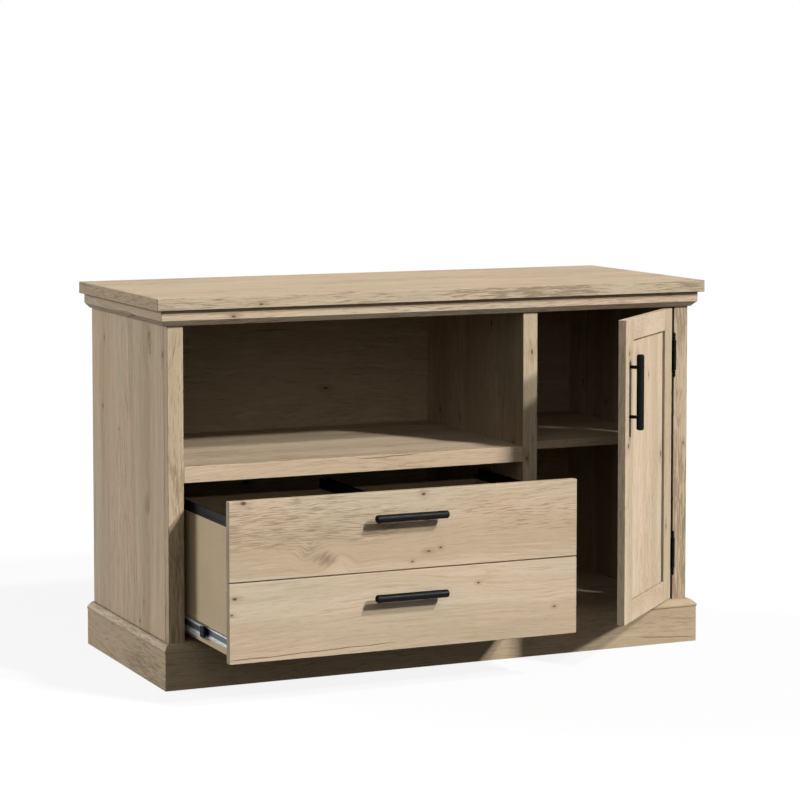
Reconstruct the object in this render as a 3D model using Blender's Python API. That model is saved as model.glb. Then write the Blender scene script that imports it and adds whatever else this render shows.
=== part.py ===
"""Filing credenza: a wide case with an open cubby, a lateral file drawer and a cupboard door.

Units are metres, +Z is up and the front faces -Y. The origin is on the floor, under the middle
of the top panel. The drawer stands part open and the door ajar, each moved by its own empty.
"""

import bmesh
import bpy
from math import cos, pi, radians, sin
from mathutils import Matrix, Vector

# Fits and small edges
GAP = 0.0003                # between pieces that touch
EDGE = 0.0008               # eased edge of a board
ROUND_SEGMENTS = 32
SMALL_SEGMENTS = 16

# Whole object
TOP_WIDTH = 1.194
TOP_DEPTH = 0.493
TOTAL_HEIGHT = 0.755
TOP_THICKNESS = 0.024
SIDE_OVERHANG = 0.027       # top panel past the case, at each end
FRONT_OVERHANG = 0.0235     # top panel past the case, at the front

# Cornice under the top panel
CORNICE_HEIGHT = 0.030
CORNICE_SIDE_SETBACK = 0.011
CORNICE_FRONT_SETBACK = 0.010
CORNICE_BEVEL_HEIGHT = 0.0105
CORNICE_FOOT_SHARE = 0.32   # how far out the bevel's foot lies, as a share of the moulding

# Case
STILE_WIDTH = 0.032
STILE_DEPTH = 0.020
STILE_REVEAL = 0.001        # a stile's edge past the face of its thick panel
DIVIDER_X = 0.205           # middle of the divider
BOARD = 0.016               # plain boards: floor of the case, rails, loose shelf
BACK_THICKNESS = 0.0032
BACK_RECESS = 0.0005        # back panel's rear face, in from the rear edge
BACK_FOOT_Z = 0.020

# Plinth
PLINTH_HEIGHT = 0.088
PLINTH_THICKNESS = 0.0195
PLINTH_SIDE_REACH = 0.0153  # the end boards' bead, out from the case
PLINTH_NOSE = 0.0016        # the bead past the board's face
PLINTH_NOSE_HEIGHT = 0.0035
PLINTH_BEVEL_HEIGHT = 0.010
PLINTH_BEVEL_CROWN = 0.0028
PLINTH_BEVEL_STEPS = 6
MITRE_GAP = 0.0002

# Shelves
CUBBY_SHELF_Z = 0.3965      # underside of the thick shelf over the drawer
CUBBY_SHELF_THICKNESS = 0.032
LOOSE_SHELF_Z = 0.416
LOOSE_SHELF_SETBACK = 0.028
LOOSE_SHELF_SIDE_GAP = 0.0010
LOOSE_SHELF_BACK_GAP = 0.006
PIN_RADIUS = 0.0024
PIN_LENGTH = 0.018
PIN_DEPTH = 0.009           # how far a shelf pin goes into its hole
PIN_HOLE_RADIUS = 0.0027
PIN_HOLE_DEPTH = 0.0095
PIN_HOLE_PITCH = 0.064
PIN_INSET = 0.050           # pin to the shelf's front or rear edge

# Drawer
DRAWER_REVEAL = 0.0027      # gap round the drawer front
FRONT_THICKNESS = 0.016
DRAWER_OPEN = 0.239
GROOVE_WIDTH = 0.0026
GROOVE_DEPTH = 0.0040
DRAWER_BOARD = 0.012
DRAWER_LENGTH = 0.400
DRAWER_SIDE_Z = 0.1005
DRAWER_SIDE_HEIGHT = 0.2405
DRAWER_BOTTOM_THICKNESS = 0.005
DRAWER_BOTTOM_RAISE = 0.009   # underside of the bottom over the side's lower edge
DRAWER_BOTTOM_TONGUE = 0.0045
DRAWER_BOTTOM_GROOVE = 0.005

# File rails on the drawer
RAIL_HEIGHT = 0.020
RAIL_WALL = 0.003
RAIL_BASE = 0.005
RAIL_BEAD = 0.0016
CENTRE_RAIL_WIDTH = 0.018

# Drawer slides, three members a side
SLIDE_SPACE = 0.0134        # case wall to drawer side
SLIDE_LENGTH = 0.400
SLIDE_Z = 0.126
SLIDE_METAL = 0.0012
SLIDE_START = 0.004         # behind the stile
OUTER_HALF = 0.0175
OUTER_DEPTH = 0.0085
MIDDLE_HALF = 0.0125
MIDDLE_START = 0.0020       # from the case wall to the middle member's lips
MIDDLE_WEB = 0.0070
MIDDLE_END = 0.0118
INNER_HALF = 0.0100
INNER_START = 0.0093
RACE_GAP = 0.0004
CATCH_LENGTH = 0.020
CATCH_NOSE = 0.006          # how far a slide's catch stands out of its middle member

# Door
DOOR_OPEN_DEGREES = 43.5
DOOR_REVEAL = 0.0025        # gap at the door's foot and free edge
DOOR_HEAD_REVEAL = 0.0035
HINGE_SIDE_GAP = 0.0032
DOOR_THICKNESS = 0.016
DOOR_STILE = 0.047
DOOR_RAIL = 0.0425
DOOR_PANEL_THICKNESS = 0.006
DOOR_PANEL_RECESS = 0.006
DOOR_PANEL_TONGUE = 0.0055
DOOR_PANEL_GROOVE = 0.006

# Butt hinges with finials
BARREL_RADIUS = 0.0040
BARREL_OFFSET = 0.0048      # barrel's axis in front of the case's front
BARREL_LENGTH = 0.0625
KNUCKLE_LENGTH = 0.016      # each of the two outer knuckles
FINIAL_LENGTH = 0.0160
HINGE_PIN_RADIUS = 0.0018
HINGE_BORE_RADIUS = 0.0022
LEAF_THICKNESS = 0.0009
LEAF_DEPTH = 0.0145
LEAF_CLEARANCE = 0.0004     # a leaf's front edge to the barrel it turns past
UPPER_HINGE_DROP = 0.0972   # hinge's middle below the door's head
LOWER_HINGE_RISE = 0.0957   # hinge's middle above the door's foot

# Bar pulls
PULL_LENGTH = 0.150
PULL_RADIUS = 0.0075
PULL_CHAMFER = 0.0024
PULL_POST_SPACING = 0.099
PULL_POST_RADIUS = 0.0035
PULL_POST_LENGTH = 0.0145
PULL_DROP = 0.047           # a drawer pull below the upper edge of its half of the front
DOOR_PULL_DROP = 0.1435     # door pull's middle below the door's head
DOOR_PULL_INSET = 0.0245    # door pull's middle line to the door's free edge
SCREW_RADIUS = 0.0018
SCREW_HOLE_RADIUS = 0.0022
SCREW_HEAD_RADIUS = 0.0040
SCREW_HEAD_HEIGHT = 0.0020

# Heights and faces that follow from the sizes above
TOP_UNDERSIDE = TOTAL_HEIGHT - TOP_THICKNESS
CASE_TOP = TOP_UNDERSIDE - GAP
CORNICE_FOOT = CASE_TOP - CORNICE_HEIGHT
CASE_X = TOP_WIDTH / 2 - SIDE_OVERHANG
CASE_FRONT = -TOP_DEPTH / 2 + FRONT_OVERHANG
CASE_BACK = TOP_DEPTH / 2
STILE_BACK = CASE_FRONT + STILE_DEPTH
STILE_INNER_X = CASE_X - STILE_WIDTH
PANEL_INNER_X = STILE_INNER_X + STILE_REVEAL
DIVIDER_LEFT = DIVIDER_X - STILE_WIDTH / 2
DIVIDER_RIGHT = DIVIDER_X + STILE_WIDTH / 2
DIVIDER_PANEL_LEFT = DIVIDER_LEFT + STILE_REVEAL
DIVIDER_PANEL_RIGHT = DIVIDER_RIGHT - STILE_REVEAL
BACK_FACE = CASE_BACK - BACK_RECESS - BACK_THICKNESS
INSIDE_BACK = BACK_FACE - GAP
PANEL_FRONT = STILE_BACK + GAP
DRAWER_LEFT = -PANEL_INNER_X + SLIDE_SPACE
DRAWER_RIGHT = DIVIDER_PANEL_LEFT - SLIDE_SPACE
DRAWER_MIDDLE_X = (DRAWER_LEFT + DRAWER_RIGHT) / 2
DRAWER_BOX_FRONT = CASE_FRONT + FRONT_THICKNESS + GAP
DRAWER_BOX_BACK = DRAWER_BOX_FRONT + DRAWER_LENGTH
DRAWER_SIDE_TOP = DRAWER_SIDE_Z + DRAWER_SIDE_HEIGHT
DRAWER_BOTTOM_Z = DRAWER_SIDE_Z + DRAWER_BOTTOM_RAISE
DRAWER_FOOT = PLINTH_HEIGHT + DRAWER_REVEAL
DRAWER_HEAD = CUBBY_SHELF_Z - DRAWER_REVEAL
DRAWER_GROOVE_Z = (DRAWER_FOOT + DRAWER_HEAD) / 2
SLIDE_FRONT = STILE_BACK + SLIDE_START
DOOR_FREE_X = DIVIDER_RIGHT + DOOR_REVEAL
DOOR_HINGE_X = STILE_INNER_X - HINGE_SIDE_GAP
DOOR_FOOT = PLINTH_HEIGHT + DOOR_REVEAL
DOOR_HEAD = CORNICE_FOOT - DOOR_HEAD_REVEAL
DOOR_BACK = CASE_FRONT + DOOR_THICKNESS
HINGE_AXIS_X = STILE_INNER_X - HINGE_SIDE_GAP / 2
HINGE_AXIS_Y = CASE_FRONT - BARREL_OFFSET


def clear_scene():
    for item in list(bpy.data.objects):
        bpy.data.objects.remove(item, do_unlink=True)


def make_material(name, colour, roughness, metallic=0.0):
    """A Principled material of one colour."""
    made = bpy.data.materials.new(name)
    made.use_nodes = True
    shader = made.node_tree.nodes["Principled BSDF"]
    shader.inputs["Base Color"].default_value = (*colour, 1.0)
    shader.inputs["Roughness"].default_value = roughness
    shader.inputs["Metallic"].default_value = metallic
    return made


def make_empty(name, place):
    """A joint's empty. Pieces are built round its closed place, and it is moved at the end."""
    empty = bpy.data.objects.new(name, None)
    bpy.context.collection.objects.link(empty)
    empty.location = place
    return empty


def add_object(name, bm, finish, parent=None):
    """Makes an object of a bmesh drawn in closed-case coordinates, with its origin at its middle."""
    low = Vector(tuple(min(v.co[i] for v in bm.verts) for i in range(3)))
    high = Vector(tuple(max(v.co[i] for v in bm.verts) for i in range(3)))
    middle = (low + high) / 2
    bmesh.ops.translate(bm, verts=bm.verts, vec=-middle)
    mesh = bpy.data.meshes.new(name)
    bm.to_mesh(mesh)
    bm.free()
    mesh.materials.append(finish)
    made = bpy.data.objects.new(name, mesh)
    bpy.context.collection.objects.link(made)
    made.location = middle
    if parent:
        made.parent = parent
        made.location = middle - parent.location
    return made


def smooth(made, degrees=35.0):
    made.data.shade_smooth()
    made.data.set_sharp_from_angle(angle=radians(degrees))


def board(name, x, y, z, finish, parent=None, edge=EDGE):
    """A board between two x, two y and two z values, with eased edges."""
    bm = bmesh.new()
    bmesh.ops.create_cube(bm, size=1.0)
    size = Vector((x[1] - x[0], y[1] - y[0], z[1] - z[0]))
    middle = Vector((x[0] + x[1], y[0] + y[1], z[0] + z[1])) / 2
    bmesh.ops.scale(bm, verts=bm.verts, vec=size)
    bmesh.ops.translate(bm, verts=bm.verts, vec=middle)
    if edge:
        bmesh.ops.bevel(bm, geom=list(bm.edges), offset=edge, segments=1, affect="EDGES")
    return add_object(name, bm, finish, parent)


def prism(name, outline, axis, start, end, finish, parent=None):
    """An outline drawn across an axis and run along it.

    The outline's pairs are the other two coordinates in x, y, z order. The start and the end
    are numbers, or functions of the outline's point where the ends are mitred.
    """
    def at(pair, along):
        spot = list(pair)
        spot.insert("xyz".index(axis), along)
        return spot

    def value(stop, index):
        return stop(index) if callable(stop) else stop

    bm = bmesh.new()
    near = [bm.verts.new(at(p, value(start, i))) for i, p in enumerate(outline)]
    far = [bm.verts.new(at(p, value(end, i))) for i, p in enumerate(outline)]
    bm.faces.new(near)
    bm.faces.new(far)
    for i in range(len(outline)):
        j = (i + 1) % len(outline)
        bm.faces.new((near[i], near[j], far[j], far[i]))
    bmesh.ops.recalc_face_normals(bm, faces=bm.faces)
    return add_object(name, bm, finish, parent)


def turned(profile, segments, closed=False):
    """A bmesh turned about Z from pairs of radius and height, listed from one end to the other."""
    bm = bmesh.new()
    rings = []
    for radius, height in profile:
        if radius == 0:
            rings.append([bm.verts.new((0, 0, height))])
            continue
        angles = [2 * pi * k / segments for k in range(segments)]
        rings.append([bm.verts.new((radius * cos(a), radius * sin(a), height)) for a in angles])
    pairs = list(zip(rings, rings[1:]))
    if closed:
        pairs.append((rings[-1], rings[0]))
    for lower, upper in pairs:
        for i in range(segments):
            j = (i + 1) % segments
            corners = (lower[i % len(lower)], lower[j % len(lower)],
                       upper[j % len(upper)], upper[i % len(upper)])
            bm.faces.new(list(dict.fromkeys(corners)))
    bmesh.ops.recalc_face_normals(bm, faces=bm.faces)
    return bm


def aim(bm, direction, place):
    """Turns a bmesh made along +Z to point along a direction, and moves its origin to a place."""
    turn = Vector((0, 0, 1)).rotation_difference(Vector(direction)).to_matrix().to_4x4()
    bm.transform(Matrix.Translation(place) @ turn)
    return bm


def rod(radius, length, direction, place, segments=SMALL_SEGMENTS):
    profile = [(0, 0), (radius, 0), (radius, length), (0, length)]
    return aim(turned(profile, segments), direction, place)


def combine(made, tool, operation):
    """Joins a guide object to a piece, or cuts it away."""
    tool.hide_render = True
    tool.display_type = "WIRE"
    step = made.modifiers.new(tool.name, "BOOLEAN")
    step.operation = operation
    step.solver = "EXACT"
    step.object = tool


def drill(made, name, radius, length, direction, place, parent=None):
    tool = add_object(name, rod(radius, length, direction, place), made.data.materials[0], parent)
    combine(made, tool, "DIFFERENCE")


def cornice_outline(face):
    """Section of the cornice as pairs of distance out from the case and height."""
    return [(GAP, CORNICE_FOOT), (face * CORNICE_FOOT_SHARE, CORNICE_FOOT),
            (face, CORNICE_FOOT + CORNICE_BEVEL_HEIGHT), (face, CASE_TOP), (GAP, CASE_TOP)]


def plinth_outline(thickness):
    """Section of the plinth: a flat face, a bead and a crowned bevel up to the case."""
    nose_top = PLINTH_HEIGHT - PLINTH_BEVEL_HEIGHT
    nose_foot = nose_top - PLINTH_NOSE_HEIGHT
    nose = thickness + PLINTH_NOSE
    pairs = [(GAP, 0.0), (thickness, 0.0), (thickness, nose_foot - PLINTH_NOSE),
             (nose, nose_foot), (nose, nose_top)]
    for k in range(1, PLINTH_BEVEL_STEPS + 1):
        t = k / PLINTH_BEVEL_STEPS
        crown = PLINTH_BEVEL_CROWN * 4 * t * (1 - t)
        pairs.append((nose + (GAP - nose) * t, nose_top + PLINTH_BEVEL_HEIGHT * t + crown))
    return pairs


def mitred_boards(name, section, side_reach, finish):
    """A board across the case's front and one on each end, mitred where they meet.

    The end boards have the front's section, narrowed to reach a given distance from the case.
    """
    front_reach = max(out for out, _ in section)
    ratio = (side_reach - GAP) / (front_reach - GAP)
    side = [(GAP + (out - GAP) * ratio, z) for out, z in section]

    def front_end(index):
        return CASE_X + side[index][0] - MITRE_GAP

    def side_end(index):
        return CASE_FRONT - section[index][0] + MITRE_GAP

    outline = [(CASE_FRONT - out, z) for out, z in section]
    prism(name + "_front", outline, "x", lambda i: -front_end(i), front_end, finish)
    for label, sign in (("_left", -1), ("_right", 1)):
        outline = [(sign * (CASE_X + out), z) for out, z in side]
        prism(name + label, outline, "y", side_end, CASE_BACK, finish)


def build_case(oak):
    half = TOP_WIDTH / 2
    board("top_panel", (-half, half), (-TOP_DEPTH / 2, TOP_DEPTH / 2),
          (TOP_UNDERSIDE, TOTAL_HEIGHT), oak, edge=0.0012)
    mitred_boards("cornice", cornice_outline(FRONT_OVERHANG - CORNICE_FRONT_SETBACK),
                  SIDE_OVERHANG - CORNICE_SIDE_SETBACK, oak)
    mitred_boards("plinth", plinth_outline(PLINTH_THICKNESS), PLINTH_SIDE_REACH, oak)

    for label, sign in (("left", -1), ("right", 1)):
        outer, stile, panel = sign * CASE_X, sign * STILE_INNER_X, sign * PANEL_INNER_X
        board("stile_" + label, sorted((outer, stile)), (CASE_FRONT, STILE_BACK), (0, CASE_TOP), oak)
        end = board("end_panel_" + label, sorted((outer, panel)), (PANEL_FRONT, CASE_BACK),
                    (0, CASE_TOP), oak)
        if label == "right":
            drill_pin_holes(end, "end_panel_pin_hole", PANEL_INNER_X, 1)

    floor_x = STILE_INNER_X - GAP
    board("bottom_panel", (-floor_x, floor_x), (CASE_FRONT, INSIDE_BACK),
          (PLINTH_HEIGHT - BOARD, PLINTH_HEIGHT), oak)
    board("top_rail_front", (-floor_x, floor_x), (CASE_FRONT, STILE_BACK),
          (CORNICE_FOOT, CASE_TOP), oak)
    board("divider_stile", (DIVIDER_LEFT, DIVIDER_RIGHT), (CASE_FRONT, STILE_BACK),
          (PLINTH_HEIGHT + GAP, CORNICE_FOOT - GAP), oak)
    divider = board("divider_panel", (DIVIDER_PANEL_LEFT, DIVIDER_PANEL_RIGHT),
                    (PANEL_FRONT, INSIDE_BACK), (PLINTH_HEIGHT + GAP, CASE_TOP), oak)
    drill_pin_holes(divider, "divider_pin_hole", DIVIDER_PANEL_RIGHT, -1)

    back_x = PANEL_INNER_X - GAP
    board("back_panel", (-back_x, back_x), (BACK_FACE, BACK_FACE + BACK_THICKNESS),
          (BACK_FOOT_Z, CASE_TOP), oak, edge=0.0004)
    under_floor = PLINTH_HEIGHT - BOARD - GAP
    board("base_rail_back", (-back_x, back_x), (INSIDE_BACK - BOARD, INSIDE_BACK),
          (0, under_floor), oak)
    board("center_support", (-BOARD / 2, BOARD / 2), (CASE_FRONT, INSIDE_BACK - BOARD - GAP),
          (0, under_floor), oak)
    board("cubby_shelf", (-floor_x, DIVIDER_LEFT - GAP), (CASE_FRONT, INSIDE_BACK),
          (CUBBY_SHELF_Z, CUBBY_SHELF_Z + CUBBY_SHELF_THICKNESS), oak)


def pin_places():
    """The y of the front and rear shelf pins, and the z of the pins' axes."""
    front = CASE_FRONT + LOOSE_SHELF_SETBACK + PIN_INSET
    rear = INSIDE_BACK - LOOSE_SHELF_BACK_GAP - PIN_INSET
    return (front, rear), LOOSE_SHELF_Z - GAP - PIN_RADIUS


def drill_pin_holes(panel, name, face_x, sign):
    """Three holes over each other at the front and at the rear of a panel's inner face."""
    columns, middle = pin_places()
    start = face_x - sign * GAP
    count = 0
    for y in columns:
        for row in (-1, 0, 1):
            count += 1
            place = (start, y, middle + row * PIN_HOLE_PITCH)
            drill(panel, f"{name}_{count}", PIN_HOLE_RADIUS, PIN_HOLE_DEPTH, (sign, 0, 0), place)


def build_loose_shelf(oak, steel):
    left = DIVIDER_PANEL_RIGHT + LOOSE_SHELF_SIDE_GAP
    right = PANEL_INNER_X - LOOSE_SHELF_SIDE_GAP
    board("adjustable_shelf", (left, right),
          (CASE_FRONT + LOOSE_SHELF_SETBACK, INSIDE_BACK - LOOSE_SHELF_BACK_GAP),
          (LOOSE_SHELF_Z, LOOSE_SHELF_Z + BOARD), oak)
    columns, height = pin_places()
    for depth, y in zip(("front", "rear"), columns):
        for label, face_x, sign in (("left", DIVIDER_PANEL_RIGHT, -1), ("right", PANEL_INNER_X, 1)):
            place = (face_x + sign * PIN_DEPTH, y, height)
            pin = rod(PIN_RADIUS, PIN_LENGTH, (-sign, 0, 0), place)
            smooth(add_object(f"shelf_pin_{depth}_{label}", pin, steel))


def slide_outline(wall_x, sign, upper_half):
    """Section of a slide member. Its upper half is given as distance off the wall and height."""
    lower_half = [(out, -up) for out, up in reversed(upper_half)]
    return [(wall_x + sign * out, SLIDE_Z + up) for out, up in upper_half + lower_half]


def outer_member():
    wall, lip, half, metal = GAP, OUTER_DEPTH, OUTER_HALF, SLIDE_METAL
    race = MIDDLE_HALF + RACE_GAP
    return [(wall + metal, half - metal), (lip - metal, half - metal), (lip - metal, race),
            (lip, race), (lip, half), (wall, half)]


def middle_member():
    half, metal, web, end = MIDDLE_HALF, SLIDE_METAL, MIDDLE_WEB, MIDDLE_END
    race = INNER_HALF + RACE_GAP
    return [(web, half - metal), (MIDDLE_START, half - metal), (MIDDLE_START, half),
            (web + metal, half), (web + metal, race + metal), (end, race + metal), (end, race),
            (web + metal, race)]


def inner_member():
    plate, half, metal = SLIDE_SPACE - GAP, INNER_HALF, SLIDE_METAL
    return [(plate - metal, half - metal), (INNER_START, half - metal), (INNER_START, half),
            (plate, half)]


def build_slides(zinc, black_plastic, drawer, middles):
    start, end = SLIDE_FRONT, SLIDE_FRONT + SLIDE_LENGTH
    for label, wall_x, sign in (("left", -PANEL_INNER_X, 1), ("right", DIVIDER_PANEL_LEFT, -1)):
        middle = middles[label]
        prism("slide_outer_" + label, slide_outline(wall_x, sign, outer_member()), "y",
              start, end, zinc)
        prism("slide_middle_" + label, slide_outline(wall_x, sign, middle_member()), "y",
              start, end, zinc, middle)
        prism("slide_inner_" + label, slide_outline(wall_x, sign, inner_member()), "y",
              start, end - 2 * SLIDE_START, zinc, drawer)
        near = wall_x + sign * (MIDDLE_START + GAP)
        far = wall_x + sign * (MIDDLE_WEB - GAP)
        tall = MIDDLE_HALF - SLIDE_METAL - GAP
        nose = start - CATCH_NOSE
        board("slide_catch_" + label, sorted((near, far)), (nose, nose + CATCH_LENGTH),
              (SLIDE_Z - tall, SLIDE_Z + tall), black_plastic, middle)


def build_drawer(oak, liner, black_plastic, drawer):
    left = -STILE_INNER_X + DRAWER_REVEAL
    right = DIVIDER_LEFT - DRAWER_REVEAL
    foot, head, middle = DRAWER_FOOT, DRAWER_HEAD, DRAWER_GROOVE_Z
    face, rear = CASE_FRONT, CASE_FRONT + FRONT_THICKNESS
    half = GROOVE_WIDTH / 2
    outline = [(rear, foot), (face + EDGE, foot), (face, foot + EDGE),
               (face, middle - half - EDGE), (face + EDGE, middle - half),
               (face + GROOVE_DEPTH, middle - half), (face + GROOVE_DEPTH, middle + half),
               (face + EDGE, middle + half), (face, middle + half + EDGE),
               (face, head - EDGE), (face + EDGE, head), (rear, head)]
    front = prism("drawer_front", outline, "x", left, right, oak, drawer)

    bottom_top = DRAWER_BOTTOM_Z + DRAWER_BOTTOM_THICKNESS
    slot = (DRAWER_BOTTOM_Z - GAP, bottom_top + GAP)
    for label, outer, sign in (("left", DRAWER_LEFT, 1), ("right", DRAWER_RIGHT, -1)):
        inner = outer + sign * DRAWER_BOARD
        deep = inner - sign * DRAWER_BOTTOM_GROOVE
        outline = [(outer, DRAWER_SIDE_Z), (inner, DRAWER_SIDE_Z), (inner, slot[0]),
                   (deep, slot[0]), (deep, slot[1]), (inner, slot[1]),
                   (inner, DRAWER_SIDE_TOP), (outer, DRAWER_SIDE_TOP)]
        prism("drawer_side_" + label, outline, "y", DRAWER_BOX_FRONT, DRAWER_BOX_BACK, liner, drawer)

    inside_left = DRAWER_LEFT + DRAWER_BOARD
    inside_right = DRAWER_RIGHT - DRAWER_BOARD
    sub_rear = DRAWER_BOX_FRONT + DRAWER_BOARD
    deep = sub_rear - DRAWER_BOTTOM_GROOVE
    outline = [(DRAWER_BOX_FRONT, DRAWER_SIDE_Z), (sub_rear, DRAWER_SIDE_Z), (sub_rear, slot[0]),
               (deep, slot[0]), (deep, slot[1]), (sub_rear, slot[1]),
               (sub_rear, DRAWER_SIDE_TOP), (DRAWER_BOX_FRONT, DRAWER_SIDE_TOP)]
    sub_front = prism("drawer_sub_front", outline, "x", inside_left + GAP, inside_right - GAP,
                      liner, drawer)
    board("drawer_back", (inside_left + GAP, inside_right - GAP),
          (DRAWER_BOX_BACK - DRAWER_BOARD, DRAWER_BOX_BACK), (bottom_top + GAP, DRAWER_SIDE_TOP),
          liner, drawer)
    board("drawer_bottom", (inside_left - DRAWER_BOTTOM_TONGUE, inside_right + DRAWER_BOTTOM_TONGUE),
          (sub_rear - DRAWER_BOTTOM_TONGUE, DRAWER_BOX_BACK), (DRAWER_BOTTOM_Z, bottom_top),
          liner, drawer, edge=0.0004)
    build_file_rails(black_plastic, drawer)
    return front, sub_front


def build_file_rails(black_plastic, drawer):
    """A rail on each side of the drawer and a double one in the middle carry two rows of files."""
    foot = DRAWER_SIDE_TOP + GAP
    head = foot + RAIL_HEIGHT - GAP
    bead = foot + RAIL_BASE
    for label, outer, sign in (("left", DRAWER_LEFT, 1), ("right", DRAWER_RIGHT, -1)):
        outline = [(outer, foot), (outer + sign * DRAWER_BOARD, foot),
                   (outer + sign * DRAWER_BOARD, foot + RAIL_BASE),
                   (outer + sign * RAIL_WALL, foot + RAIL_BASE), (outer + sign * RAIL_WALL, head),
                   (outer, head), (outer, bead + 2 * RAIL_BEAD),
                   (outer - sign * RAIL_BEAD, bead + RAIL_BEAD), (outer, bead)]
        prism("file_rail_" + label, outline, "y", DRAWER_BOX_FRONT, DRAWER_BOX_BACK,
              black_plastic, drawer)
    half = CENTRE_RAIL_WIDTH / 2
    inner = half - RAIL_WALL
    outline = [(-half, foot), (half, foot), (half, head), (inner, head), (inner, foot + RAIL_BASE),
               (-inner, foot + RAIL_BASE), (-inner, head), (-half, head)]
    outline = [(DRAWER_MIDDLE_X + x, z) for x, z in outline]
    prism("file_rail_center", outline, "y", DRAWER_BOX_FRONT, DRAWER_BOX_BACK, black_plastic, drawer)


def build_pull(name, middle, along, black_metal, parent):
    """A round bar on two posts, standing off a face that looks along -Y."""
    half, edge = PULL_LENGTH / 2, PULL_CHAMFER
    profile = [(0, -half), (PULL_RADIUS - edge, -half), (PULL_RADIUS, -half + edge),
               (PULL_RADIUS, half - edge), (PULL_RADIUS - edge, half), (0, half)]
    away = PULL_POST_LENGTH + PULL_RADIUS
    axis = Vector(along)
    place = Vector(middle) + Vector((0, -away, 0))
    bar = add_object(name, aim(turned(profile, ROUND_SEGMENTS), along, place), black_metal, parent)
    for number, side in enumerate((-1, 1), start=1):
        foot = Vector(middle) + axis * side * PULL_POST_SPACING / 2 + Vector((0, -GAP, 0))
        post = rod(PULL_POST_RADIUS, away, (0, -1, 0), foot)
        combine(bar, add_object(f"{name}_post_{number}", post, black_metal, parent), "UNION")
    smooth(bar)


def build_screw(name, foot, length, steel, parent):
    """A pan-head screw driven along -Y, its head on a rear face."""
    profile = [(0, 0), (SCREW_HEAD_RADIUS * 0.7, 0), (SCREW_HEAD_RADIUS, SCREW_HEAD_HEIGHT * 0.5),
               (SCREW_HEAD_RADIUS, SCREW_HEAD_HEIGHT), (SCREW_RADIUS, SCREW_HEAD_HEIGHT),
               (SCREW_RADIUS, SCREW_HEAD_HEIGHT + length), (0, SCREW_HEAD_HEIGHT + length)]
    place = Vector(foot) + Vector((0, SCREW_HEAD_HEIGHT + GAP, 0))
    smooth(add_object(name, aim(turned(profile, SMALL_SEGMENTS), (0, -1, 0), place), steel, parent))


def build_drawer_pulls(front, sub_front, black_metal, steel, drawer):
    rear = DRAWER_BOX_FRONT + DRAWER_BOARD
    thick = rear - CASE_FRONT
    for label, z in (("upper", DRAWER_HEAD - PULL_DROP), ("lower", DRAWER_GROOVE_Z - PULL_DROP)):
        build_pull(f"drawer_pull_{label}", (DRAWER_MIDDLE_X, CASE_FRONT, z), (1, 0, 0),
                   black_metal, drawer)
        for number, side in enumerate((-1, 1), start=1):
            x = DRAWER_MIDDLE_X + side * PULL_POST_SPACING / 2
            if z < DRAWER_SIDE_TOP:
                start = (x, rear + GAP, z)
                through = [front, sub_front]
                length = thick
            else:
                start = (x, DRAWER_BOX_FRONT, z)
                through = [front]
                length = FRONT_THICKNESS
            for piece in through:
                drill(piece, f"{piece.name}_hole_{label}_{number}", SCREW_HOLE_RADIUS,
                      thick + 4 * GAP, (0, -1, 0), start, drawer)
            foot = (x, start[1] - GAP, z)
            build_screw(f"pull_screw_{label}_{number}", foot, length, steel, drawer)


def door_outline(edge_x, inner_x):
    """Section of a door stile across x and y, grooved for the panel on its inner edge."""
    front, rear = CASE_FRONT, DOOR_BACK
    slot_front = front + DOOR_PANEL_RECESS - GAP
    slot_rear = slot_front + DOOR_PANEL_THICKNESS + 2 * GAP
    into = DOOR_PANEL_GROOVE if edge_x > inner_x else -DOOR_PANEL_GROOVE
    ease = EDGE if edge_x > inner_x else -EDGE
    return [(edge_x - ease, front), (inner_x + ease, front), (inner_x, front + EDGE),
            (inner_x, slot_front), (inner_x + into, slot_front), (inner_x + into, slot_rear),
            (inner_x, slot_rear), (inner_x, rear), (edge_x, rear), (edge_x, front + EDGE)]


def build_door(oak, door):
    low, high = DOOR_FOOT, DOOR_HEAD
    free_inner = DOOR_FREE_X + DOOR_STILE
    hinge_inner = DOOR_HINGE_X - DOOR_STILE
    free = prism("door_stile_free", door_outline(DOOR_FREE_X, free_inner), "z", low, high, oak, door)
    prism("door_stile_hinge", door_outline(DOOR_HINGE_X, hinge_inner), "z", low, high, oak, door)
    for label, edge_z, inner_z in (("top", high, high - DOOR_RAIL), ("bottom", low, low + DOOR_RAIL)):
        outline = [(y, z) for z, y in door_outline(edge_z, inner_z)]
        prism("door_rail_" + label, outline, "x", free_inner + GAP, hinge_inner - GAP, oak, door)
    tongue = DOOR_PANEL_TONGUE
    face = CASE_FRONT + DOOR_PANEL_RECESS
    board("door_panel", (free_inner - tongue, hinge_inner + tongue),
          (face, face + DOOR_PANEL_THICKNESS),
          (low + DOOR_RAIL - tongue, high - DOOR_RAIL + tongue), oak, door, edge=0)
    return free


def build_door_pull(stile, black_metal, steel, door):
    x = DOOR_FREE_X + DOOR_PULL_INSET
    middle = DOOR_HEAD - DOOR_PULL_DROP
    build_pull("door_pull", (x, CASE_FRONT, middle), (0, 0, 1), black_metal, door)
    for number, side in enumerate((-1, 1), start=1):
        z = middle + side * PULL_POST_SPACING / 2
        drill(stile, f"door_stile_hole_{number}", SCREW_HOLE_RADIUS, DOOR_THICKNESS + 4 * GAP,
              (0, -1, 0), (x, DOOR_BACK + 2 * GAP, z), door)
        build_screw(f"door_pull_screw_{number}", (x, DOOR_BACK, z), DOOR_THICKNESS, steel, door)


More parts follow.
